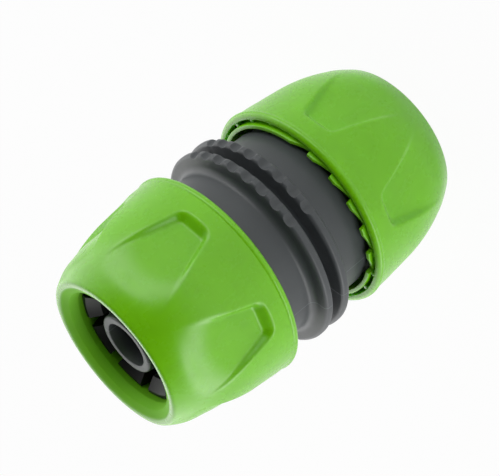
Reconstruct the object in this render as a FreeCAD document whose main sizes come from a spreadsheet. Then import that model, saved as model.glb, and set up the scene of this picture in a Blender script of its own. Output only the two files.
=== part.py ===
"""Hose mender for 12 mm (half inch) garden hose, standing on the mouth of its lower nut.

A grey moulded centre body carries a hose tail and a threaded cup at each end. In each cup
slides a ring of nine sprung claws, and over each cup screws a domed green nut that closes
its claws round the hose. Z is the common axis. Sizes are in millimetres.
"""
import FreeCAD, Part
import os
import re
import Sketcher
from FreeCAD import Placement, Rotation, Vector

# Driving sizes: alias, value, meaning
SIZES = [
    ("bore_radius", 4.4, "water way"),
    ("tail_radius", 6.0, "hose tail between its barbs"),
    ("tail_end", 31.7, "middle of the body to the end of a tail"),
    ("tail_chamfer", 0.4, "chamfer at the end of a tail"),
    ("barb_height", 0.35, "barb above the tail"),
    ("barb_length", 3.0, "length of one barb"),
    ("barb_count", 4, "barbs on a tail"),
    ("barb_first", 2.0, "end of a tail to the crest of its first barb"),
    ("flange_centre", 2.02, "middle of the body to the middle of a flange"),
    ("flange_half", 0.98, "half the thickness of a flange, and its rim round"),
    ("flange_radius", 20.1, "outside of a flange"),
    ("flange_root", 1.3, "hollow between a flange and its neck"),
    ("groove_radius", 15.6, "bottom of the groove between the flanges"),
    ("neck_radius", 16.8, "neck beside a flange"),
    ("neck_end", 10.6, "middle of the body to the end of a neck"),
    ("cup_radius", 14.2, "inside of a cup"),
    ("cup_floor", 4.0, "middle of the body to the floor of a cup"),
    ("cup_end", 21.0, "middle of the body to the rim of a cup"),
    ("cup_chamfer", 0.5, "chamfer on the rim of a cup"),
    ("key_count", 3, "keys in a cup"),
    ("key_width", 2.0, "width of a key"),
    ("key_height", 0.8, "key above the wall of its cup"),
    ("key_stop", 1.0, "rim of a cup to the end of its keys"),
    ("key_play", 0.2, "gap round a key in its notch"),
    ("grip_count", 8, "scallops in one group on a flange"),
    ("grip_pitch", 10.15, "degrees from one scallop to the next"),
    ("grip_radius", 1.45, "ball that hollows a scallop"),
    ("grip_depth", 0.5, "depth of a scallop"),
    ("thread_starts", 2, "starts of the thread"),
    ("thread_lead", 6.0, "travel of a nut in one turn"),
    ("thread_height", 1.0, "height of a thread ridge"),
    ("thread_foot", 1.6, "width of a ridge at its foot"),
    ("thread_crest", 0.8, "width of a ridge at its crest"),
    ("thread_play", 0.3, "gap between the crests and the walls they face"),
    ("thread_length", 6.0, "length of the ridges on a cup"),
    ("thread_inset", 0.6, "rim of a cup to its ridges"),
    ("nut_thread_start", 8.3, "mouth of a nut to the start of its ridges"),
    ("nut_thread_length", 7.0, "length of the ridges in a nut"),
    ("nut_gap", 6.6, "flange to the end of the sleeve, as the nut stands"),
    ("nut_turn_low", 86.0, "degrees that the lower nut is turned"),
    ("nut_turn_high", 22.4, "degrees that the upper nut is turned"),
    ("sleeve_end", 24.1, "mouth of a nut to the end of its sleeve"),
    ("sleeve_wall", 0.8, "wall of the sleeve"),
    ("sleeve_bore", 17.7, "inside of the sleeve past the thread"),
    ("sleeve_floor", 16.9, "mouth of a nut to where the sleeve widens"),
    ("rim_end", 23.6, "mouth of a nut to the rim of its shell"),
    ("rim_radius", 20.5, "outside of the shell at its rim"),
    ("rim_round", 0.9, "outer rounding of the rim"),
    ("rim_edge", 0.3, "inner rounding of the rim"),
    ("shell_wall", 1.3, "wall of the shell at its rim"),
    ("shoulder_radius", 19.93, "outside of the shell where the dome starts"),
    ("shoulder_end", 14.0, "mouth of a nut to where the dome starts"),
    ("dome_radius", 29.0, "curve of the dome along the nut"),
    ("lip_radius", 15.1, "outside of the lip round the mouth"),
    ("lip_crown", 14.1, "inside of the flat end of the lip"),
    ("lip_rise", 0.8, "lip above the mouth, which it slopes down to"),
    ("lip_round", 0.8, "outer rounding of the lip"),
    ("lip_bore", 12.4, "inside of the mouth"),
    ("lip_edge", 0.4, "rounding of the mouth"),
    ("throat_radius", 12.0, "narrowest part of a nut"),
    ("throat_end", 1.7, "mouth of a nut to its throat"),
    ("cone_radius", 13.6, "wide end of the cone that closes the claws"),
    ("cone_end", 6.4, "mouth of a nut to the wide end of its cone"),
    ("bead_radius", 12.9, "bead that holds the claws in"),
    ("bead_length", 1.0, "cone to the back of the bead"),
    ("web_count", 21, "webs between the shell and the sleeve"),
    ("web_wall", 1.0, "thickness of a web"),
    ("web_drop", 0.5, "rim of the shell to the webs"),
    ("pocket_depth", 3.2, "depth of the pockets between the webs"),
    ("pocket_turn", 13.0, "degrees from a recess to the middle of a pocket"),
    ("recess_count", 6, "finger recesses round a nut"),
    ("recess_top", 17.9, "mouth of a nut to the short side of a recess"),
    ("recess_floor", 18.6, "axis to the floor of a recess at its short side"),
    ("recess_half", 2.7, "half the short side of a recess"),
    ("recess_flare", 19.0, "degrees that the sides of a recess spread"),
    ("recess_corner", 1.0, "rounding of the corners of a recess"),
    ("recess_length", 15.5, "length of the cut"),
    ("recess_tilt", 4.4, "degrees that the floor of a recess leans in"),
    ("recess_draft", 28.0, "degrees that the walls of a recess lean out"),
    ("recess_cut", 3.5, "height of the cut above the floor"),
    ("notch_count", 6, "ratchet notches in one group"),
    ("notch_pitch", 17.3, "degrees from one notch to the next"),
    ("notch_start", 9.5, "degrees from a recess to the first notch"),
    ("notch_depth", 0.75, "depth of a notch"),
    ("notch_length", 2.6, "length of a notch along the sleeve"),
    ("claw_count", 9, "claws in a ring"),
    ("claw_tip", 2.8, "mouth of a nut to the tips of its claws"),
    ("claw_gap", 0.3, "gap between the claws and the nut"),
    ("claw_bore", 9.5, "inside of the claws"),
    ("claw_mouth", 11.4, "wide end of the lead-in of the claws"),
    ("claw_lead", 1.8, "length of the lead-in"),
    ("claw_neck", 1.7, "wall of a claw behind its head"),
    ("claw_head", 8.6, "mouth of a nut to the back of the claw heads"),
    ("tooth_height", 0.4, "height of a gripping tooth in a claw"),
    ("slot_width", 2.1, "slot between two claws"),
    ("slot_end", 15.6, "mouth of a nut to the foot of a slot"),
    ("slot_turn", 20.9, "degrees to a slot"),
    ("ring_play", 0.2, "gap between the ring and its cup"),
    ("ring_start", 17.2, "mouth of a nut to the foot of the claws"),
    ("ring_end", 20.7, "mouth of a nut to the back of the ring"),
]
ALIASES = {alias for alias, _, _ in SIZES}

# Sizes that follow from the driving ones
THREAD_ROOT = "(neck_radius - thread_height - 0.2)"
THREAD_WALL = f"({THREAD_ROOT} + thread_height + thread_play)"
THREAD_PITCH = "(thread_lead / thread_starts)"
FLANGE_FACE = "(flange_centre + flange_half)"
MOUTH = f"({FLANGE_FACE} + nut_gap + sleeve_end)"
MIDDLE = f"({MOUTH} + lip_rise)"
RING_RADIUS = "(cup_radius - ring_play)"
SLEEVE_RADIUS = "(sleeve_bore + sleeve_wall)"
SHELL_BORE = "(rim_radius - shell_wall)"

doc = FreeCAD.newDocument("hose_mender")
sheet = doc.addObject("Spreadsheet::Sheet", "Sizes")
for row, (alias, value, meaning) in enumerate(SIZES, start=1):
    sheet.set(f"A{row}", meaning)
    sheet.set(f"B{row}", str(value))
    sheet.setAlias(f"B{row}", alias)
doc.recompute()


def bound(text):
    """Expression with each size's alias led to its cell in the sheet."""
    return re.sub(r"[a-z_]+", lambda word: f"Sizes.{word[0]}" if word[0] in ALIASES else word[0], text)


def size(text):
    """Present value of an expression in the sizes."""
    value = sheet.evalExpression(text)
    return float(getattr(value, "Value", value))


def bind(item, **properties):
    """Tie properties of an object to the sizes; a double underscore stands for a dot."""
    for name, text in properties.items():
        item.setExpression(name.replace("__", "."), bound(text))


def origin_item(body, role):
    """Plane or axis of a body's own origin."""
    return next(item for item in body.Origin.OriginFeatures if item.Role == role)


def start_body(label):
    """Empty body for one piece."""
    body = doc.addObject("PartDesign::Body", label)
    body.Label = label
    return body


def sketch_on(body, name, role):
    """Empty sketch on one of a body's own planes."""
    sketch = body.newObject("Sketcher::SketchObject", name)
    sketch.AttachmentSupport = [(origin_item(body, role), "")]
    sketch.MapMode = "FlatFace"
    return sketch


def draw(sketch, outline):
    """Closed outline of corners (x, y), each held by two sizes.

    A third entry is the radius of the arc that leaves the corner, positive when the arc
    turns left on its way to the next corner and negative when it turns right.
    """
    corners = [Vector(size(corner[0]), size(corner[1]), 0) for corner in outline]
    count = len(outline)
    for index, corner in enumerate(outline):
        start, end = corners[index], corners[(index + 1) % count]
        if len(corner) == 2:
            sketch.addGeometry(Part.LineSegment(start, end), False)
            continue
        radius = size(corner[2])
        chord = end - start
        side = Vector(-chord.y, chord.x, 0).normalize() * (1 if radius > 0 else -1)
        rise = abs(radius) - max(radius**2 - (chord.Length / 2)**2, 0)**0.5
        sketch.addGeometry(Part.Arc(start, (start + end) / 2 - side * rise, end), False)
    for index, corner in enumerate(outline):
        follower = (index + 1) % count
        ends = [1 if len(outline[i]) == 2 or size(outline[i][2]) > 0 else 2 for i in (index, follower)]
        sketch.addConstraint(Sketcher.Constraint("Coincident", index, 3 - ends[0], follower, ends[1]))
        for axis, text in (("X", corner[0]), ("Y", corner[1])):
            place = corners[index].x if axis == "X" else corners[index].y
            mark = sketch.addConstraint(Sketcher.Constraint(f"Distance{axis}", index, ends[0], place))
            sketch.renameConstraint(mark, f"corner{index}{axis}")
            sketch.setExpression(f"Constraints.corner{index}{axis}", bound(text))
        if len(corner) == 3:
            mark = sketch.addConstraint(Sketcher.Constraint("Radius", index, abs(size(corner[2]))))
            sketch.renameConstraint(mark, f"arc{index}")
            sketch.setExpression(f"Constraints.arc{index}", bound(corner[2].lstrip("-")))
    return sketch


def turn(body, sketch, name):
    """Outline turned round the body's axis."""
    feature = body.newObject("PartDesign::Revolution", name)
    feature.Profile = sketch
    feature.ReferenceAxis = (sketch, ["V_Axis"])
    feature.Angle = 360
    return feature


def repeat(body, feature, name, count, angle="360"):
    """Copies of a feature round the body's axis."""
    pattern = body.newObject("PartDesign::PolarPattern", name)
    pattern.Originals = [feature]
    pattern.Axis = (origin_item(body, "Z_Axis"), [""])
    bind(pattern, Occurrences=count, Angle=angle)
    body.Tip = pattern
    return pattern


def round_edges(body, name, radius, places):
    """Fillet on the circular edges that pass (radius, height)."""
    doc.recompute()
    base = body.Tip
    picked = []
    for number, edge in enumerate(base.Shape.Edges, start=1):
        point = edge.valueAt(edge.FirstParameter)
        for far, height in places:
            if abs(Vector(point.x, point.y, 0).Length - size(far)) < 0.02 and abs(point.z - size(height)) < 0.02:
                if len(edge.Vertexes) == 1 or abs(edge.Vertexes[0].Z - edge.Vertexes[-1].Z) < 0.01:
                    picked.append(f"Edge{number}")
    fillet = body.newObject("PartDesign::Fillet", name)
    fillet.Base = (base, picked)
    bind(fillet, Radius=radius)
    return fillet


def add_thread(body, name, foot, height, bottom, length, inward=False):
    """Ridges of the thread, from a trapezoid led up the helix and repeated for each start."""
    crest = f"({foot} - {height})" if inward else f"({foot} + {height})"
    sunk = f"({foot} + 0.3)" if inward else f"({foot} - 0.3)"
    outline = [
        (sunk, f"{bottom} - thread_foot / 2"),
        (foot, f"{bottom} - thread_foot / 2"),
        (crest, f"{bottom} - thread_crest / 2"),
        (crest, f"{bottom} + thread_crest / 2"),
        (foot, f"{bottom} + thread_foot / 2"),
        (sunk, f"{bottom} + thread_foot / 2"),
    ]
    sketch = draw(sketch_on(body, f"{name}_section", "XZ_Plane"), outline)
    helix = body.newObject("PartDesign::AdditiveHelix", name)
    helix.Profile = sketch
    helix.ReferenceAxis = (sketch, ["V_Axis"])
    helix.Mode = 0
    bind(helix, Pitch="thread_lead", Height=length)
    return repeat(body, helix, f"{name}_starts", "thread_starts")


def make_centre_body():
    """Grey moulding with the water way, two tails, two cups, two necks and two flanges."""
    body = start_body("centre_body")
    rim_centre = "(flange_radius - flange_half)"
    outline = [
        ("bore_radius", "0"),
        ("groove_radius", "0", "-(flange_centre - flange_half)"),
        ("groove_radius + flange_centre - flange_half", "flange_centre - flange_half"),
        (rim_centre, "flange_centre - flange_half", "flange_half"),
        ("flange_radius", "flange_centre", "flange_half"),
        (rim_centre, FLANGE_FACE),
        ("neck_radius + flange_root", FLANGE_FACE, "-flange_root"),
        ("neck_radius", f"{FLANGE_FACE} + flange_root"),
        ("neck_radius", "neck_end"),
        (THREAD_ROOT, f"neck_end + neck_radius - {THREAD_ROOT}"),
        (THREAD_ROOT, "cup_end - cup_chamfer"),
        (f"{THREAD_ROOT} - cup_chamfer", "cup_end"),
        ("cup_radius", "cup_end"),
        ("cup_radius", "cup_floor"),
        ("tail_radius", "cup_floor"),
        ("tail_radius", "tail_end - tail_chamfer"),
        ("tail_radius - tail_chamfer", "tail_end"),
        ("bore_radius", "tail_end"),
    ]
    turn(body, draw(sketch_on(body, "half_section", "XZ_Plane"), outline), "half_body")
    crest = "(tail_end - barb_first)"
    barb = [
        ("tail_radius - 0.3", f"{crest} + barb_length / 3"),
        ("tail_radius", f"{crest} + barb_length / 3"),
        ("tail_radius + barb_height", crest),
        ("tail_radius + barb_height", f"{crest} - 0.4"),
        ("tail_radius", f"{crest} - 0.5"),
        ("tail_radius - 0.3", f"{crest} - 0.5"),
    ]
    first = turn(body, draw(sketch_on(body, "barb_section", "XZ_Plane"), barb), "first_barb")
    row = body.newObject("PartDesign::LinearPattern", "barbs")
    row.Originals = [first]
    row.Direction = (origin_item(body, "Z_Axis"), [""])
    row.Reversed = True
    bind(row, Occurrences="barb_count", Length="barb_length * (barb_count - 1)")
    body.Tip = row
    key = [
        ("cup_radius - key_height", "-key_width / 2"),
        ("cup_radius + 0.5", "-key_width / 2"),
        ("cup_radius + 0.5", "key_width / 2"),
        ("cup_radius - key_height", "key_width / 2"),
    ]
    section = draw(sketch_on(body, "key_section", "XY_Plane"), key)
    bind(section, AttachmentOffset__Base__z="cup_floor - 0.5")
    pad = body.newObject("PartDesign::Pad", "first_key")
    pad.Profile = section
    bind(pad, Length="cup_end - key_stop - cup_floor + 0.5")
    repeat(body, pad, "keys", "key_count")
    other = body.newObject("PartDesign::Mirrored", "other_half")
    other.BaseFeature = body.Tip
    other.TransformMode = "Whole shape"
    other.MirrorPlane = (origin_item(body, "XY_Plane"), [""])
    body.Tip = other
    add_grips(body)
    add_body_threads(body)
    bind(body, Placement__Base__z=MIDDLE)
    return body


def add_grips(body):
    """Two groups of scallops on each flange, facing the two halves of the mould."""
    for side, sign in (("high", ""), ("low", "-")):
        ball = body.newObject("PartDesign::SubtractiveSphere", f"grip_{side}")
        ball.AttachmentSupport = [(origin_item(body, "XY_Plane"), "")]
        ball.MapMode = "FlatFace"
        reach = "(flange_radius - grip_depth + grip_radius)"
        lean = "(grip_pitch * (grip_count - 1) / 2)"
        bind(
            ball,
            Radius="grip_radius",
            AttachmentOffset__Base__x=f"{reach} * sin({lean})",
            AttachmentOffset__Base__y=f"-{reach} * cos({lean})",
            AttachmentOffset__Base__z=f"{sign}flange_centre",
        )
        group = body.newObject("PartDesign::PolarPattern", f"group_{side}")
        bind(group, Occurrences="grip_count", Angle="grip_pitch * (grip_count - 1)")
        group.Reversed = True
        pair = body.newObject("PartDesign::PolarPattern", f"pair_{side}")
        pair.Angle = 360
        pair.Occurrences = 2
        for pattern in (group, pair):
            pattern.Axis = (origin_item(body, "Z_Axis"), [""])
        grips = body.newObject("PartDesign::MultiTransform", f"grips_{side}")
        grips.Originals = [ball]
        grips.Transformations = [group, pair]
        body.Tip = grips


def add_body_threads(body):
    """Right-hand thread on each cup, half a pitch from the thread of its nut."""
    meet_low = f"(nut_thread_start - {MOUTH} - thread_lead * nut_turn_low / 360 + {THREAD_PITCH} / 2)"
    meet_high = f"({MOUTH} - nut_thread_start - thread_lead * nut_turn_high / 360 + {THREAD_PITCH} / 2)"
    low_limit = "(-(cup_end - thread_inset - thread_foot / 2))"
    high_limit = "(cup_end - thread_inset - thread_foot / 2 - thread_length)"
    start_low = f"({low_limit} + mod({meet_low} - {low_limit} + 20 * {THREAD_PITCH}; {THREAD_PITCH}))"
    start_high = f"({high_limit} - mod({high_limit} - {meet_high} + 20 * {THREAD_PITCH}; {THREAD_PITCH}))"
    add_thread(body, "thread_low", THREAD_ROOT, "thread_height", start_low, "thread_length")
    add_thread(body, "thread_high", THREAD_ROOT, "thread_height", start_high, "thread_length")


def make_nut(label, spin, upper=False):
    """Green nut: domed shell, inner sleeve with webs and ratchet, cone for the claws."""
    body = start_body(label)
    outline = [
        ("lip_bore", "0"),
        ("lip_crown", "-lip_rise"),
        ("lip_radius", "-lip_rise", "dome_radius"),
        ("shoulder_radius", "shoulder_end"),
        ("rim_radius", "rim_end - rim_round", "rim_round"),
        ("rim_radius - rim_round", "rim_end"),
        (f"{SHELL_BORE} + rim_edge", "rim_end", "rim_edge"),
        (SHELL_BORE, "rim_end - rim_edge"),
        (SHELL_BORE, "rim_end - web_drop"),
        (SLEEVE_RADIUS, "rim_end - web_drop"),
        (SLEEVE_RADIUS, "sleeve_end"),
        ("sleeve_bore", "sleeve_end"),
        ("sleeve_bore", "sleeve_floor"),
        (THREAD_WALL, f"sleeve_floor - sleeve_bore + {THREAD_WALL}"),
        (THREAD_WALL, "cone_end + bead_length"),
        ("bead_radius", "cone_end + bead_length"),
        ("bead_radius", "cone_end + bead_length / 2"),
        ("cone_radius", "cone_end"),
        ("throat_radius", "throat_end"),
    ]
    turn(body, draw(sketch_on(body, "section", "XZ_Plane"), outline), "blank")
    body.Tip = body.Group[-1]
    cut_pockets(body)
    cut_recesses(body)
    cut_notches(body)
    round_edges(body, "outer_lip", "lip_round", [("lip_radius", "-lip_rise")])
    round_edges(body, "inner_lip", "lip_edge", [("lip_bore", "0")])
    add_thread(body, "thread", THREAD_WALL, "thread_height", "nut_thread_start", "nut_thread_length", inward=True)
    stand(body, spin, upper)
    return body


def cut_pockets(body):
    """Pockets between the shell and the sleeve, which leave thin webs."""
    half = f"(180 deg / web_count - asin(web_wall / 2 / {SHELL_BORE}))"
    outline = [
        (f"{SHELL_BORE} * cos({half})", f"-{SHELL_BORE} * sin({half})", SHELL_BORE),
        (f"{SHELL_BORE} * cos({half})", f"{SHELL_BORE} * sin({half})"),
        (f"{SLEEVE_RADIUS} * cos({half})", f"{SLEEVE_RADIUS} * sin({half})", f"-{SLEEVE_RADIUS}"),
        (f"{SLEEVE_RADIUS} * cos({half})", f"-{SLEEVE_RADIUS} * sin({half})"),
    ]
    sketch = draw(sketch_on(body, "pocket_section", "XY_Plane"), outline)
    sketch.AttachmentOffset = Placement(Vector(0, 0, 0), Rotation(Vector(0, 0, 1), 1))
    bind(sketch, AttachmentOffset__Base__z="rim_end - web_drop", AttachmentOffset__Rotation__Angle="pocket_turn")
    pocket = body.newObject("PartDesign::Pocket", "first_pocket")
    pocket.Profile = sketch
    bind(pocket, Length="pocket_depth")
    repeat(body, pocket, "pockets", "web_count")


def cut_recesses(body):
    """Flat-floored finger recesses that widen and fade out towards the mouth."""
    setback = "(recess_corner * tan((90 - recess_flare) / 2))"
    foot = "(recess_half + recess_length * tan(recess_flare))"
    outline = [
        (f"-recess_half + {setback}", "0", "recess_corner"),
        (
            f"-recess_half - {setback} * sin(recess_flare)",
            f"-{setback} * cos(recess_flare)",
        ),
        (f"-{foot}", "-recess_length"),
        (foot, "-recess_length"),
        (
            f"recess_half + {setback} * sin(recess_flare)",
            f"-{setback} * cos(recess_flare)",
            "recess_corner",
        ),
        (f"recess_half - {setback}", "0"),
    ]
    sketch = draw(sketch_on(body, "recess_section", "YZ_Plane"), outline)
    sketch.AttachmentOffset = Placement(Vector(0, 0, 0), Rotation(Vector(1, 0, 0), 1))
    bind(
        sketch,
        AttachmentOffset__Base__y="recess_top",
        AttachmentOffset__Base__z="recess_floor",
        AttachmentOffset__Rotation__Angle="recess_tilt",
    )
    recess = body.newObject("PartDesign::Pocket", "first_recess")
    recess.Profile = sketch
    recess.Reversed = True
    bind(recess, Length="recess_cut", TaperAngle="recess_draft")
    repeat(body, recess, "recesses", "recess_count")


def cut_notches(body):
    """Two opposite groups of ratchet notches in the end of the sleeve."""
    side = "(-sleeve_bore * sin(notch_start))"
    outline = [
        (side, "sleeve_end - notch_depth"),
        (f"{side} + notch_length", "sleeve_end"),
        (f"{side} + notch_length", "sleeve_end + 1"),
        (side, "sleeve_end + 1"),
    ]
    sketch = draw(sketch_on(body, "notch_section", "YZ_Plane"), outline)
    bind(sketch, AttachmentOffset__Base__z="sleeve_bore * cos(notch_start) - sleeve_wall")
    notch = body.newObject("PartDesign::Pocket", "first_notch")
    notch.Profile = sketch
    notch.Reversed = True
    bind(notch, Length="4 * sleeve_wall")
    group = body.newObject("PartDesign::PolarPattern", "notch_group")
    bind(group, Occurrences="notch_count", Angle="notch_pitch * (notch_count - 1)")
    group.Reversed = True
    pair = body.newObject("PartDesign::PolarPattern", "notch_pair")
    pair.Angle = 360
    pair.Occurrences = 2
    for pattern in (group, pair):
        pattern.Axis = (origin_item(body, "Z_Axis"), [""])
    notches = body.newObject("PartDesign::MultiTransform", "notches")
    notches.Originals = [notch]
    notches.Transformations = [group, pair]
    body.Tip = notches


def stand(body, spin, upper):
    """Place a piece that is drawn from the mouth of its nut, at the bottom or turned over at the top."""
    if upper:
        body.Placement = Placement(Vector(0, 0, 0), Rotation(Vector(1, 1, 0), 180))
        bind(
            body,
            Placement__Base__z=f"{MIDDLE} + {MOUTH}",
            Placement__Rotation__Axis__x=f"cos({spin} / 2)",
            Placement__Rotation__Axis__y=f"sin({spin} / 2)",
        )
    else:
        body.Placement = Placement(Vector(0, 0, 0), Rotation(Vector(0, 0, 1), 1))
        bind(body, Placement__Base__z="lip_rise", Placement__Rotation__Angle=spin)


def make_claw_ring(label, upper=False):
    """Ring of sprung claws that slides in a cup on its keys."""
    body = start_body(label)
    slope = "((cone_radius - throat_radius) / (cone_end - throat_end))"
    back = f"(throat_radius - claw_gap * sqrt(1 + pow({slope}; 2)))"
    tip = f"({back} + {slope} * (claw_tip - throat_end))"
    shoulder_end = "(cone_end - claw_gap)"
    shoulder = f"({back} + {slope} * ({shoulder_end} - throat_end))"
    shank = "(claw_bore + claw_neck + 0.3)"
    step = f"({shoulder} - {shank})"
    outline = [
        ("claw_mouth", "claw_tip"),
        (tip, "claw_tip"),
        (shoulder, shoulder_end),
        (shank, f"{shoulder_end} + {step}"),
        (shank, "ring_start"),
        (RING_RADIUS, "ring_start"),
        (RING_RADIUS, "ring_end"),
        ("claw_bore", "ring_end"),
        ("claw_bore", "ring_start"),
        ("claw_bore + 0.3", "ring_start - 0.3"),
        ("claw_bore + 0.3", "claw_head"),
        ("claw_bore - tooth_height", "claw_head"),
        ("claw_bore", "claw_head - 1.4"),
        ("claw_bore - tooth_height", "claw_head - 1.4"),
        ("claw_bore", "claw_tip + claw_lead"),
    ]
    turn(body, draw(sketch_on(body, "section", "XZ_Plane"), outline), "blank")
    body.Tip = body.Group[-1]
    slot = [
        ("claw_bore - 2", "-slot_width / 2"),
        ("cone_radius + 1", "-slot_width / 2"),
        ("cone_radius + 1", "slot_width / 2"),
        ("claw_bore - 2", "slot_width / 2"),
    ]
    sketch = draw(sketch_on(body, "slot_section", "XY_Plane"), slot)
    sketch.AttachmentOffset = Placement(Vector(0, 0, 0), Rotation(Vector(0, 0, 1), 1))
    bind(sketch, AttachmentOffset__Base__z="claw_tip - 1", AttachmentOffset__Rotation__Angle="slot_turn")
    cut = body.newObject("PartDesign::Pocket", "first_slot")
    cut.Profile = sketch
    cut.Reversed = True
    bind(cut, Length="slot_end - claw_tip + 1")
    repeat(body, cut, "slots", "claw_count")
    notch = [
        ("cup_radius - key_height - key_play", "-key_width / 2 - key_play"),
        ("cup_radius + 1", "-key_width / 2 - key_play"),
        ("cup_radius + 1", "key_width / 2 + key_play"),
        ("cup_radius - key_height - key_play", "key_width / 2 + key_play"),
    ]
    sketch = draw(sketch_on(body, "key_notch", "XY_Plane"), notch)
    bind(sketch, AttachmentOffset__Base__z="ring_start - 1")
    cut = body.newObject("PartDesign::Pocket", "first_key_notch")
    cut.Profile = sketch
    cut.Reversed = True
    bind(cut, Length="ring_end - ring_start + 2")
    repeat(body, cut, "key_notches", "key_count")
    stand(body, "0", upper)
    return body


def check(items):
    """Stop if an object of the document has failed or a piece isn't one sound solid."""
    for item in doc.Objects:
        if {"Invalid", "Error"} & set(item.State):
            raise RuntimeError(f"{item.Label} failed: {item.getStatusString()}")
    for item in items:
        if item.Shape.isNull() or not item.Shape.isValid() or len(item.Shape.Solids) != 1:
            raise RuntimeError(f"{item.Label} is not one valid solid")


pieces = [
    make_centre_body(),
    make_claw_ring("claw_ring_low"),
    make_claw_ring("claw_ring_high", upper=True),
    make_nut("clamp_nut_low", "nut_turn_low"),
    make_nut("clamp_nut_high", "nut_turn_high", upper=True),
]
doc.recompute()
check(pieces)
os.makedirs("parts", exist_ok=True)
for piece in pieces:
    piece.Shape.exportStep(f"parts/{piece.Label}.step")
    print(piece.Label, round(piece.Shape.Volume, 1), "mm3")
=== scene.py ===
"""Looks of the hose mender: moulded green nuts, grey centre body, dark claws with painted shade,
pale studio.

Sizes are in millimetres here and turn into metres where a vertex is placed. A nut is drawn
from its mouth, where the height is 0, towards its rim, and its lip lies just below the mouth.
The centre body is drawn from its middle, and its lower half mirrors the upper one.
"""

from math import asin, atan2, cos, degrees, hypot, pi, radians, sin, sqrt, tan

import bpy
from mathutils import Matrix, Vector


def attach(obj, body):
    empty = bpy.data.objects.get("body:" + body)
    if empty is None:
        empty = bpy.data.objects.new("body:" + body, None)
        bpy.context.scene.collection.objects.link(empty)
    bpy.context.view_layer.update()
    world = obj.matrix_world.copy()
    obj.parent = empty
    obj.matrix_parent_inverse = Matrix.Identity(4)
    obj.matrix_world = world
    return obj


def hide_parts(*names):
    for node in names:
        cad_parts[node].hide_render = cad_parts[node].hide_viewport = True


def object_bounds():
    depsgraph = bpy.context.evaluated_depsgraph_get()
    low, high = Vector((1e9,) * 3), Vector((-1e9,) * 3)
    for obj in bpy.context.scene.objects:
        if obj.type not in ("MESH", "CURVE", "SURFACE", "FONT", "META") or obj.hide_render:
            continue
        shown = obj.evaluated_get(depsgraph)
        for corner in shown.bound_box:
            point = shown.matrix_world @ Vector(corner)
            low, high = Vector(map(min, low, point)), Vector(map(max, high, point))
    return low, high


bl_info = {
    "name": "Hose mender",
    "version": (1, 0, 0),
    "blender": (4, 5, 0),
    "location": "3D View > Sidebar > Hose mender",
    "description": "Models the nuts, the centre body, the claws and the studio of a hose mender",
    "category": "Object",
}

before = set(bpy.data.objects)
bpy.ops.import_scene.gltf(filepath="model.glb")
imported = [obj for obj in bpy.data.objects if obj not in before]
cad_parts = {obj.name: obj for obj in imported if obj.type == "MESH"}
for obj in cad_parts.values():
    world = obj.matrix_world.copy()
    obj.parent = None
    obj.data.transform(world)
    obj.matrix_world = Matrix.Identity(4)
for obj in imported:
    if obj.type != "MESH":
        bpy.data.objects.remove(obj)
CAD_BOX = [list(corner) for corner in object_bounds()]

MM = 0.001
HEIGHT = CAD_BOX[1][2] / MM
MIDDLE = HEIGHT / 2
COLUMNS = 540
WELD = 0.002 * MM
THREAD_LEAD = 6.0

LIP = -0.8
SHOULDER = (19.93, 14.0)
NUT_THREAD_WALL = 16.9
RECESS_COUNT = 6

CUP_WALL = 15.6
FLANGE_MIDDLE = 2.02
FLANGE_RADIUS = 20.1

IMAGE_WIDTH = 500
FOCAL_PIXELS = 1534.2
CAMERA_PLACE = (-138.75, -207.93, 151.3)
CAMERA_RIGHT = (-0.698, 0.0722, -0.712)
CAMERA_BACK = (-0.507, -0.7516, 0.4209)


class MenderSizes(bpy.types.PropertyGroup):
    """Sizes of the moulded pieces that a user would change."""

    lip_rise: bpy.props.FloatProperty(
        name="Lip rise", description="Lip above the mouth of a nut", default=0.0008, unit="LENGTH")
    dome_radius: bpy.props.FloatProperty(
        name="Dome radius", description="Curve of the dome along a nut", default=0.029,
        unit="LENGTH")
    rim_round: bpy.props.FloatProperty(
        name="Rim round", description="Rounding of the rolled rim of a nut", default=0.00085,
        unit="LENGTH")
    recess_soft: bpy.props.FloatProperty(
        name="Recess softness", description="Rounding of the edges of a finger recess",
        default=0.0005, unit="LENGTH")
    recess_slope: bpy.props.FloatProperty(
        name="Recess slope", description="Rise of a recess wall for each unit outwards",
        default=1.4)
    recess_fade: bpy.props.FloatProperty(
        name="Recess fade",
        description="How fast a recess floor melts into the dome at its open side", default=0.16)
    grip_depth: bpy.props.FloatProperty(
        name="Grip depth", description="Depth of a scallop on a flange", default=0.0007,
        unit="LENGTH")
    web_count: bpy.props.IntProperty(
        name="Webs", description="Webs between the shell and the sleeve of a nut", default=21,
        min=3)
    low_turn: bpy.props.FloatProperty(
        name="Lower turn", description="Turn of the lower nut", default=radians(86),
        subtype="ANGLE")
    high_turn: bpy.props.FloatProperty(
        name="Upper turn", description="Turn of the upper nut", default=radians(22.4),
        subtype="ANGLE")


class MenderColours(bpy.types.PropertyGroup):
    """Colours of the mouldings, as linear red, green and blue."""

    green: bpy.props.FloatVectorProperty(
        name="Green", description="Lime green of the nuts", default=(0.190, 0.600, 0.0010), size=3,
        subtype="COLOR")
    grey: bpy.props.FloatVectorProperty(
        name="Grey", description="Grey of the centre body", default=(0.062, 0.069, 0.073), size=3,
        subtype="COLOR")
    # Near-black of the claws: their own dark grey plastic, darkened further as painted shade of the
    # nuts' mouths.
    dark: bpy.props.FloatVectorProperty(
        name="Dark", description="Dark grey of the claws", default=(0.012, 0.012, 0.013), size=3,
        subtype="COLOR")


def soft_min(a, b, reach):
    """Lower of two heights, with the corner between them rounded."""
    overlap = max(reach - abs(a - b), 0) / reach
    return min(a, b) - overlap * overlap * reach / 4


def arc(centre, radius, start, end, steps):
    """Points of an arc in a section, from one angle in degrees to another."""
    points = []
    for step in range(steps + 1):
        angle = radians(start + (end - start) * step / steps)
        points.append((centre[0] + radius * cos(angle), centre[1] + radius * sin(angle)))
    return points


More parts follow.
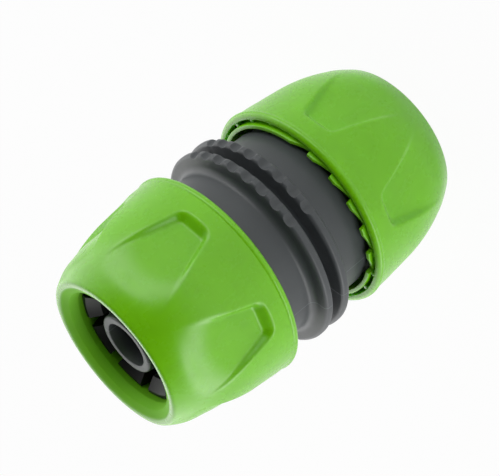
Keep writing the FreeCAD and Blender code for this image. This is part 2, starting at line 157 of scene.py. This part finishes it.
def line(start, end, steps):
    """Points of a straight run in a section, without its last one."""
    run, rise = end[0] - start[0], end[1] - start[1]
    return [
        (start[0] + run * step / steps, start[1] + rise * step / steps) for step in range(steps)
    ]


def pick(*pieces):
    """Leave edit mode with only these pieces selected, the first of them active."""
    if bpy.context.object and bpy.context.object.mode == "EDIT":
        bpy.ops.object.mode_set(mode="OBJECT")
    bpy.ops.object.select_all(action="DESELECT")
    for piece in pieces:
        piece.select_set(True)
    if pieces:
        bpy.context.view_layer.objects.active = pieces[0]


def named(piece, name):
    """Piece with its object and mesh named alike."""
    piece.name = piece.data.name = name
    return piece


def edit_all():
    """Enter edit mode on the active piece with its whole mesh selected."""
    bpy.ops.object.mode_set(mode="EDIT")
    bpy.ops.mesh.select_all(action="SELECT")


def close_up():
    """Merge the doubles of the mesh in edit mode, turn its faces outwards and leave."""
    bpy.ops.mesh.select_all(action="SELECT")
    bpy.ops.mesh.remove_doubles(threshold=WELD)
    bpy.ops.mesh.normals_make_consistent(inside=False)
    bpy.ops.object.mode_set(mode="OBJECT")


def turned(name, section):
    """Closed section traced corner by corner and spun round the axis."""
    pick()
    bpy.ops.mesh.primitive_plane_add(size=MM, location=(0, 0, 0))
    piece = named(bpy.context.object, name)
    edit_all()
    bpy.ops.mesh.merge(type="CENTER")
    pen = (0, 0)
    for index, corner in enumerate(section + section[:1]):
        step = ((corner[0] - pen[0]) * MM, 0, (corner[1] - pen[1]) * MM)
        if index == 0:
            bpy.ops.transform.translate(value=step)
        else:
            bpy.ops.mesh.extrude_region_move(TRANSFORM_OT_translate={"value": step})
        pen = corner
    bpy.ops.mesh.select_all(action="SELECT")
    bpy.ops.mesh.remove_doubles(threshold=WELD)
    bpy.ops.mesh.spin(steps=COLUMNS, angle=2 * pi, center=(0, 0, 0), axis=(0, 0, 1))
    close_up()
    return piece


def block(low, high, name):
    """Box between two corners in millimetres, with its edges bevelled."""
    pick()
    middle = [(a + b) / 2 * MM for a, b in zip(low, high)]
    bpy.ops.mesh.primitive_cube_add(size=1, location=middle)
    box = named(bpy.context.object, name)
    box.scale = [(b - a) * MM for a, b in zip(low, high)]
    bpy.ops.object.transform_apply(location=True, rotation=True, scale=True)
    edit_all()
    bpy.ops.mesh.bevel(offset=0.1 * MM, segments=2)
    bpy.ops.object.mode_set(mode="OBJECT")
    return box


def repeat_round(piece, count):
    """Copies of a piece's mesh at equal turns round the axis."""
    pick(piece)
    edit_all()
    bpy.ops.mesh.spin(steps=count, dupli=True, angle=2 * pi, center=(0, 0, 0), axis=(0, 0, 1))
    close_up()


def set_down(piece, turn=(0, 0, 0), rise=0):
    """Turn and lift a piece, and keep that in its mesh."""
    pick(piece)
    piece.rotation_euler = turn
    piece.location.z = rise * MM
    bpy.ops.object.transform_apply(location=True, rotation=True, scale=True)


def copied(piece, name):
    """Second piece with a mesh of its own."""
    pick(piece)
    bpy.ops.object.duplicate(linked=False)
    return named(bpy.context.object, name)


def joined(pieces, name):
    """One piece from several."""
    pick(*pieces)
    bpy.ops.object.join()
    return named(bpy.context.object, name)


def thread_ridge(name, wall, height, bottom, length, turn):
    """One start of a thread: a trapezoid led up a right-hand helix, with closed ends."""
    sunk = wall + (0.3 if height < 0 else -0.3)
    crest = wall + height
    corners = [(sunk, -0.8), (wall, -0.8), (crest, -0.4), (crest, 0.4), (wall, 0.8), (sunk, 0.8)]
    pick()
    bpy.ops.mesh.primitive_circle_add(vertices=len(corners), radius=MM, fill_type="NOTHING")
    piece = named(bpy.context.object, name)
    for vertex, corner in zip(piece.data.vertices, corners):
        vertex.co = (corner[0] * MM, 0, (bottom + corner[1]) * MM)
    screw = piece.modifiers.new("helix", "SCREW")
    screw.angle = 2 * pi * length / THREAD_LEAD
    screw.screw_offset = length * MM
    screw.steps = screw.render_steps = 96
    screw.use_merge_vertices = False
    bpy.ops.object.modifier_apply(modifier="helix")
    edit_all()
    bpy.ops.mesh.fill_holes(sides=0)
    bpy.ops.mesh.select_all(action="SELECT")
    bpy.ops.mesh.normals_make_consistent(inside=False)
    bpy.ops.object.mode_set(mode="OBJECT")
    set_down(piece, turn=(0, 0, turn))
    return piece


def smooth(piece, angle):
    """Smooth shading, with edges sharper than the angle kept."""
    pick(piece)
    bpy.ops.object.shade_smooth_by_angle(angle=radians(angle))


def dress(piece, material):
    """Give a piece one material all over."""
    piece.data.materials.clear()
    piece.data.materials.append(material)


def settle(piece, node, material):
    """Give a finished piece its finish, hang it from the body empty named after the CAD node that
    it stands for, and hide that node.
    """
    dress(piece, material)
    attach(piece, node)
    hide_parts(node)


def dome_section(sizes):
    """Outside of a nut from the flat of its lip to its shoulder."""
    bulge = sizes.dome_radius / MM
    lip_edge, edge = 15.1, 0.8
    reach = hypot(SHOULDER[0] - lip_edge, SHOULDER[1] - LIP)
    back = sqrt(bulge**2 - (reach / 2)**2)
    along = ((SHOULDER[0] - lip_edge) / reach, (SHOULDER[1] - LIP) / reach)
    centre = (
        (lip_edge + SHOULDER[0]) / 2 - along[1] * back,
        (LIP + SHOULDER[1]) / 2 + along[0] * back,
    )
    crown = sqrt((bulge - edge)**2 - (LIP + edge - centre[1])**2) + centre[0]
    rounding = (crown, LIP + edge)
    meet = degrees(atan2(rounding[1] - centre[1], rounding[0] - centre[0]))
    top = degrees(asin((SHOULDER[1] - centre[1]) / bulge))
    return arc(rounding, edge, -90, meet, 8) + arc(centre, bulge, meet, top, 60)[1:]


def nut_section(sizes):
    """Closed section of a nut, over its outside to the rim and back through its inside."""
    rounding = sizes.rim_round / MM
    wall = NUT_THREAD_WALL
    outside = [(14.1, LIP)] + dome_section(sizes) + line(SHOULDER, (20.39, 22.19), 32)[1:]
    rim = arc((20.6 - rounding, 23.6 - rounding), rounding, -41, 90, 13)
    rim += arc((19.5, 23.3), 0.3, 90, 180, 4)
    pocket = [(19.2, 22.0), (19.2, 19.9), (18.5, 19.9), (18.5, 21.5), (18.5, 22.7)]
    sleeve_end = arc((18.35, 23.95), 0.15, 0, 90, 2) + arc((17.85, 23.95), 0.15, 90, 180, 2)
    inside = [(17.7, 22.7), (17.7, 16.9), (wall, 16.1), (wall, 12.0), (wall, 7.4)]
    bead = [(12.9, 7.4), (12.9, 6.9)]
    cone = [(13.6, 6.4), (12.8, 4.05), (12.0, 1.7)]
    throat = [(12.34, 0.26), (12.43, 0.03), (12.66, -0.14), (13.4, -0.5)]
    return outside + rim + pocket + sleeve_end + inside + bead + cone + throat


def recess_height(across, along, slope):
    """Distance from the axis of the cut for a finger recess, over a place on its floor plane."""
    short_side, half, corner, flare = 17.85, 2.7, 1.0, radians(19)
    deepest, floor_tilt, foot_softness = 18.5, radians(3.7), 0.4
    floor = deepest - (17.9 - along) * tan(floor_tilt)
    end = along - short_side + corner
    side = (abs(across) - half) * cos(flare) + (along - short_side) * sin(flare) + corner
    if end > side * sin(flare) and side > end * sin(flare):
        outside = sqrt(end**2 + side**2 - 2 * end * side * sin(flare)) / cos(flare) - corner
    else:
        outside = max(end, side) - corner
    return -soft_min(-floor, -(floor + outside * slope), foot_softness)


def press_recesses(nut, sizes):
    """Press the finger recesses into a nut's outside, with floors that fade out at the mouth."""
    softness = sizes.recess_soft / MM
    lowest, full, highest, fade_height = 0.5, 5.0, 22, 13
    pitch = 2 * pi / RECESS_COUNT
    for vertex in nut.data.vertices:
        x, y, along = (value / MM for value in vertex.co)
        far = hypot(x, y)
        inner = 15.2 if along < 6.5 else 17.2 if along < 14 else 19.5
        if far < inner or not lowest < along < highest:
            continue
        share = min((along - lowest) / (full - lowest), 1)
        share = share * share * (3 - 2 * share)
        middle = round(atan2(y, x) / pitch) * pitch
        turn = atan2(y, x) - middle
        out, across = far * cos(turn), far * sin(turn)
        reach = softness + max(fade_height - along, 0) * sizes.recess_fade
        pressed = soft_min(out, recess_height(across, along, sizes.recess_slope), reach)
        if pressed < out:
            pressed = out - (out - pressed) * share
            x = pressed * cos(middle) - across * sin(middle)
            y = pressed * sin(middle) + across * cos(middle)
            vertex.co = (x * MM, y * MM, along * MM)


def cut_notches(nut):
    """Cut two opposite groups of notches, each a wall and a long ramp, into the sleeve's end."""
    depth, ramp, first, pitch, count = 1.2, 12.5, -9.3, 17.3, 6
    for vertex in nut.data.vertices:
        x, y, along = (value / MM for value in vertex.co)
        if not 17.6 < hypot(x, y) < 18.6 or along < 23.6:
            continue
        turn = degrees(atan2(y, x))
        past = min((turn - first + pitch * number) % 180 for number in range(count))
        if past < ramp:
            vertex.co.z -= depth * (1 - past / ramp) ** 0.8 * MM


def make_nut(sizes):
    """Lower nut in its own place, mouth down on the floor, with its first recess towards +X."""
    nut = turned("clamp_nut_low_moulding", nut_section(sizes))
    press_recesses(nut, sizes)
    cut_notches(nut)
    web = block((18.4, -0.5, 19.7), (19.3, 0.5, 23.1), "web")
    set_down(web, turn=(0, 0, radians(13)))
    repeat_round(web, sizes.web_count)
    starts = [
        thread_ridge("nut_thread", NUT_THREAD_WALL, -1.0, 8.3, 7.0, turn) for turn in (0, pi)
    ]
    nut = joined([nut, web] + starts, "clamp_nut_low_moulding")
    smooth(nut, 32)
    set_down(nut, rise=sizes.lip_rise / MM)
    return nut


def body_section():
    """Closed section of the centre body, over its outside and back down the water way."""
    bore, tail = 4.4, 6.0
    groove = arc((16.64, 0), 1.04, 180, 90, 5)
    flange = arc((19.4, 1.74), 0.7, -90, 0, 7) + arc((19.4, 2.3), 0.7, 0, 90, 7)
    neck = [(18.6, 3.0)] + arc((18.1, 4.3), 1.3, -90, -180, 6)
    neck += [(16.8, 7.4), (16.8, 10.4), (16.7, 10.7), (CUP_WALL, 11.8), (CUP_WALL, 20.5)]
    cup = [(15.45, 20.85), (15.1, 21.0), (14.3, 21.0), (14.2, 20.9), (14.2, 4.3), (13.9, 4.0)]
    half = groove + flange + neck + cup + [(6.3, 4.0), (tail, 4.3)]
    for crest in (20.7, 23.7, 26.7, 29.7):
        half += [(tail, crest - 0.5), (6.32, crest - 0.4), (6.35, crest - 0.1)]
        half += [(6.28, crest + 0.15), (tail, crest + 1.0)]
    half += [(tail, 31.2), (5.93, 31.45), (5.75, 31.64), (5.5, 31.7)]
    half += [(4.65, 31.7), (4.47, 31.63), (bore, 31.45)]
    return half + [(radius, -height) for radius, height in reversed(half) if height > 0]


def press_grips(body, sizes):
    """Press two opposite groups of eight scallops across the rim of each flange."""
    hollow, pitch, depth, softness = 1.4, 10.15, sizes.grip_depth / MM, 0.06
    for vertex in body.data.vertices:
        x, y, along = (value / MM for value in vertex.co)
        far = hypot(x, y)
        height = abs(along) - FLANGE_MIDDLE
        if far < 18.6 or abs(height) > 0.99:
            continue
        turn = (degrees(atan2(y, x)) + 90) % 180
        turn = turn - 180 if turn > 90 else turn
        number = min(max(round(turn / pitch + 3.5), 0), 7)
        off = radians(turn - (number - 3.5) * pitch)
        out, across = far * cos(off), far * sin(off)
        room = hollow**2 - across**2 - (height * 0.3)**2
        if room <= 0:
            continue
        pressed = soft_min(out, FLANGE_RADIUS - depth + hollow - sqrt(room), softness)
        if pressed < out:
            scale = hypot(pressed, across) / far
            vertex.co = (x * scale * MM, y * scale * MM, along * MM)


def make_centre_body(sizes):
    """Centre body with its grips, cup keys and threads, in its place."""
    body = turned("centre_body_moulding", body_section())
    press_grips(body, sizes)
    extras = []
    for low, high in ((3.8, 20.0), (-20.0, -3.8)):
        key = block((13.4, -1.0, low), (14.5, 1.0, high), "key")
        repeat_round(key, 3)
        extras.append(key)
    for bottom in (-19.333, 11.527):
        for turn in (0, pi):
            extras.append(thread_ridge("cup_thread", CUP_WALL, 1.0, bottom, 6.0, turn))
    body = joined([body] + extras, "centre_body_moulding")
    smooth(body, 34)
    set_down(body, rise=MIDDLE)
    return body


def noise(tree, place, scale, detail, roughness=0.5):
    """Noise pattern over the place of a point on the piece."""
    node = tree.nodes.new("ShaderNodeTexNoise")
    node.inputs["Scale"].default_value = scale
    node.inputs["Detail"].default_value = detail
    node.inputs["Roughness"].default_value = roughness
    tree.links.new(place, node.inputs["Vector"])
    return node.outputs["Fac"]


def ranged(tree, value, start, end):
    """Map Range from a value and its result at the start to those at the end."""
    node = tree.nodes.new("ShaderNodeMapRange")
    node.inputs["From Min"].default_value, node.inputs["To Min"].default_value = start
    node.inputs["From Max"].default_value, node.inputs["To Max"].default_value = end
    tree.links.new(value, node.inputs["Value"])
    return node


def bumped(tree, height, strength, distance):
    """Bump from a height pattern."""
    node = tree.nodes.new("ShaderNodeBump")
    node.inputs["Strength"].default_value = strength
    node.inputs["Distance"].default_value = distance
    tree.links.new(height, node.inputs["Height"])
    return node


def radius_of(tree, place):
    """Distance of a point on the piece from the axis."""
    flat = tree.nodes.new("ShaderNodeVectorMath")
    flat.operation = "MULTIPLY"
    flat.inputs[1].default_value = (1, 1, 0)
    radius = tree.nodes.new("ShaderNodeVectorMath")
    radius.operation = "LENGTH"
    tree.links.new(place, flat.inputs[0])
    tree.links.new(flat.outputs["Vector"], radius.inputs[0])
    return radius.outputs["Value"]


def draw_seam(tree, place, colour, tint, grain):
    """Pale raised line where the mould parts, in the plane where Y is 0, as a colour and a bump."""
    apart = tree.nodes.new("ShaderNodeSeparateXYZ")
    off = tree.nodes.new("ShaderNodeMath")
    off.operation = "ABSOLUTE"
    tree.links.new(place, apart.inputs["Vector"])
    tree.links.new(apart.outputs["Y"], off.inputs[0])
    seam = ranged(tree, off.outputs["Value"], (0.05 * MM, 1), (0.13 * MM, 0)).outputs["Result"]
    paler = tree.nodes.new("ShaderNodeMix")
    paler.data_type = "RGBA"
    paler.inputs["B"].default_value = [min(value * 1.9, 1) for value in colour] + [1]
    tree.links.new(seam, paler.inputs["Factor"])
    tree.links.new(tint, paler.inputs["A"])
    step = bumped(tree, seam, 0.6, 0.06 * MM)
    tree.links.new(grain, step.inputs["Normal"])
    return paler.outputs["Result"], step.outputs["Normal"]


def moulded(name, colour, roughness, grain, shine=0.5, glow=0, seam=False, inside=0):
    """Moulded plastic: faint cloudiness, handling marks, fine grain, mould seam and matt inside."""
    material = bpy.data.materials.new(name)
    material.use_nodes = True
    tree = material.node_tree
    shader = tree.nodes["Principled BSDF"]
    shader.inputs["IOR"].default_value = 1.49
    shader.inputs["Specular IOR Level"].default_value = shine
    shader.inputs["Subsurface Weight"].default_value = glow
    shader.inputs["Subsurface Radius"].default_value = (0.7, 1.0, 0.2)
    shader.inputs["Subsurface Scale"].default_value = 1.2 * MM
    place = tree.nodes.new("ShaderNodeTexCoord").outputs["Object"]

    tint = tree.nodes.new("ShaderNodeValToRGB")
    for stop, (position, share) in zip(tint.color_ramp.elements, ((0.3, 0.93), (0.7, 1.06))):
        stop.position = position
        stop.color = [min(value * share, 1) for value in colour] + [1]
    tree.links.new(noise(tree, place, 90, 3), tint.inputs["Fac"])
    base = tint.outputs["Color"]

    marks = noise(tree, place, 260, 6, 0.65)
    dull = ranged(tree, marks, (0.35, roughness - 0.02), (0.7, roughness + 0.03)).outputs["Result"]
    if inside:
        core = ranged(tree, radius_of(tree, place), ((inside + 0.5) * MM, 0), (inside * MM, 0.5))
        matt = tree.nodes.new("ShaderNodeMath")
        tree.links.new(core.outputs["Result"], matt.inputs[0])
        tree.links.new(dull, matt.inputs[1])
        dull = matt.outputs["Value"]

    normal = bumped(tree, noise(tree, place, 5200, 2), grain, 0.03 * MM).outputs["Normal"]
    if seam:
        base, normal = draw_seam(tree, place, colour, base, normal)
    tree.links.new(base, shader.inputs["Base Color"])
    tree.links.new(dull, shader.inputs["Roughness"])
    tree.links.new(normal, shader.inputs["Normal"])
    return material


class MENDER_OT_clamp_nuts(bpy.types.Operator):
    """Model the two green clamp nuts."""

    bl_idname = "mender.clamp_nuts"
    bl_label = "Clamp nuts"

    def execute(self, context):
        sizes = context.scene.mender_sizes
        green = moulded(
            "lime_green_moulding", context.scene.mender_colours.green, 0.27, 0.03,
            shine=0.55, glow=0.1, inside=13.6)
        low = make_nut(sizes)
        high = copied(low, "clamp_nut_high_moulding")
        set_down(low, turn=(0, 0, sizes.low_turn))
        set_down(high, turn=(pi, 0, sizes.high_turn), rise=HEIGHT)
        settle(low, "clamp_nut_low", green)
        settle(high, "clamp_nut_high", green)
        return {"FINISHED"}


class MENDER_OT_centre_body(bpy.types.Operator):
    """Model the grey centre body."""

    bl_idname = "mender.centre_body"
    bl_label = "Centre body"

    def execute(self, context):
        grey = moulded(
            "grey_moulding", context.scene.mender_colours.grey, 0.42, 0.22, seam=True)
        body = make_centre_body(context.scene.mender_sizes)
        settle(body, "centre_body", grey)
        return {"FINISHED"}


class MENDER_OT_claw_rings(bpy.types.Operator):
    """Give the two claw rings their dark plastic, darkened further to near black as painted shade
    inside the mouths.
    """

    bl_idname = "mender.claw_rings"
    bl_label = "Claw rings"

    def execute(self, context):
        # The claws' own dark grey is darkened further to near black here as painted shade inside
        # the mouths.
        dark = moulded("dark_moulding_with_painted_shade", context.scene.mender_colours.dark, 0.45, 0.25)
        for name in ("claw_ring_low", "claw_ring_high"):
            dress(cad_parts[name], dark)
        return {"FINISHED"}


def add_camera(scene):
    """Camera at the photograph's viewing angle."""
    right = Vector(CAMERA_RIGHT).normalized()
    back = Vector(CAMERA_BACK).normalized()
    up = back.cross(right).normalized()
    turn = Matrix((up.cross(back), up, back)).transposed().to_4x4()
    data = bpy.data.cameras.new("camera")
    data.sensor_width = 36
    data.lens = FOCAL_PIXELS / IMAGE_WIDTH * data.sensor_width
    data.clip_start, data.clip_end = 0.01, 20
    camera = bpy.data.objects.new("camera", data)
    scene.collection.objects.link(camera)
    camera.matrix_world = Matrix.Translation(Vector(CAMERA_PLACE) * MM) @ turn
    scene.camera = camera


def add_floor():
    """Pale floor that camera and glossy rays see almost white, with some of its shadow."""
    pick()
    bpy.ops.mesh.primitive_plane_add(size=6, location=(0, 0, 0))
    floor = bpy.context.object
    floor.name = "floor"
    pale = bpy.data.materials.new("pale_floor")
    pale.use_nodes = True
    nodes, links = pale.node_tree.nodes, pale.node_tree.links
    shader = nodes["Principled BSDF"]
    shader.inputs["Base Color"].default_value = (0.9, 0.9, 0.9, 1)
    shader.inputs["Roughness"].default_value = 0.9
    shader.inputs["Specular IOR Level"].default_value = 0
    white = nodes.new("ShaderNodeEmission")
    white.inputs["Strength"].default_value = 1
    seen = nodes.new("ShaderNodeLightPath")
    either = nodes.new("ShaderNodeMath")
    either.operation = "MAXIMUM"
    share = nodes.new("ShaderNodeMath")
    share.operation = "MULTIPLY"
    share.inputs[1].default_value = 0.96
    blend = nodes.new("ShaderNodeMixShader")
    links.new(seen.outputs["Is Camera Ray"], either.inputs[0])
    links.new(seen.outputs["Is Glossy Ray"], either.inputs[1])
    links.new(either.outputs["Value"], share.inputs[0])
    links.new(share.outputs["Value"], blend.inputs["Fac"])
    links.new(shader.outputs["BSDF"], blend.inputs[1])
    links.new(white.outputs["Emission"], blend.inputs[2])
    links.new(blend.outputs["Shader"], nodes["Material Output"].inputs["Surface"])
    floor.data.materials.append(pale)


def add_tent(scene):
    """Light tent: dark overhead, bright round the horizon, and white where the camera sees it."""
    world = bpy.data.worlds.new("studio")
    world.use_nodes = True
    tree = world.node_tree
    nodes, links = tree.nodes, tree.links
    tent = nodes["Background"]
    tent.inputs["Color"].default_value = (1, 1, 1, 1)
    bearing = nodes.new("ShaderNodeTexCoord")
    towards = nodes.new("ShaderNodeVectorMath")
    towards.operation = "DOT_PRODUCT"
    towards.inputs[1].default_value = Vector((-0.25, -0.30, 0.92)).normalized()
    links.new(bearing.outputs["Generated"], towards.inputs[0])
    walls = ranged(tree, towards.outputs["Value"], (0.80, 0.05), (-0.1, 2.2))
    walls.interpolation_type = "SMOOTHSTEP"
    links.new(walls.outputs["Result"], tent.inputs["Strength"])
    white = nodes.new("ShaderNodeBackground")
    white.inputs["Color"].default_value = (1, 1, 1, 1)
    seen = nodes.new("ShaderNodeLightPath")
    blend = nodes.new("ShaderNodeMixShader")
    links.new(seen.outputs["Is Camera Ray"], blend.inputs["Fac"])
    links.new(tent.outputs["Background"], blend.inputs[1])
    links.new(white.outputs["Background"], blend.inputs[2])
    links.new(blend.outputs["Shader"], nodes["World Output"].inputs["Surface"])
    scene.world = world


def add_softbox(scene, name, direction, distance, size, power):
    """Area light that faces the mender from a direction."""
    data = bpy.data.lights.new(name, "AREA")
    data.shape = "RECTANGLE"
    data.size, data.size_y = size
    data.energy = power
    lamp = bpy.data.objects.new(name, data)
    scene.collection.objects.link(lamp)
    direction = Vector(direction)
    lamp.location = Vector((0, 0, MIDDLE * MM)) + direction.normalized() * distance
    lamp.rotation_euler = direction.to_track_quat("Z", "Y").to_euler()


class MENDER_OT_studio(bpy.types.Operator):
    """Set up the pale floor, the soft lights and the camera."""

    bl_idname = "mender.studio"
    bl_label = "Studio"

    def execute(self, context):
        scene = context.scene
        add_camera(scene)
        add_floor()
        add_tent(scene)
        add_softbox(scene, "left_softbox", (0.42, -0.90, 0.11), 0.55, (0.7, 0.20), 0.8)
        add_softbox(scene, "right_softbox", (-0.95, 0.25, 0.08), 0.5, (0.7, 0.14), 1.0)
        scene.view_settings.view_transform = "Standard"
        return {"FINISHED"}


class MENDER_PT_pieces(bpy.types.Panel):
    """Lists the pieces, sizes and colours in the sidebar."""

    bl_idname = "MENDER_PT_pieces"
    bl_label = "Hose mender"
    bl_space_type = "VIEW_3D"
    bl_region_type = "UI"
    bl_category = "Hose mender"

    def draw(self, context):
        for operator in OPERATORS:
            self.layout.operator(operator.bl_idname)
        for group in (context.scene.mender_sizes, context.scene.mender_colours):
            for name in group.__annotations__:
                self.layout.prop(group, name)


OPERATORS = (MENDER_OT_centre_body, MENDER_OT_claw_rings, MENDER_OT_clamp_nuts, MENDER_OT_studio)
CLASSES = (MenderSizes, MenderColours) + OPERATORS + (MENDER_PT_pieces,)


def register():
    for item in CLASSES:
        bpy.utils.register_class(item)
    bpy.types.Scene.mender_sizes = bpy.props.PointerProperty(type=MenderSizes)
    bpy.types.Scene.mender_colours = bpy.props.PointerProperty(type=MenderColours)


def unregister():
    del bpy.types.Scene.mender_colours
    del bpy.types.Scene.mender_sizes
    for item in reversed(CLASSES):
        bpy.utils.unregister_class(item)


def main():
    """Register the operators and build every piece."""
    register()
    bpy.ops.mender.centre_body()
    bpy.ops.mender.claw_rings()
    bpy.ops.mender.clamp_nuts()
    bpy.ops.mender.studio()


if __name__ == "__main__":
    main()
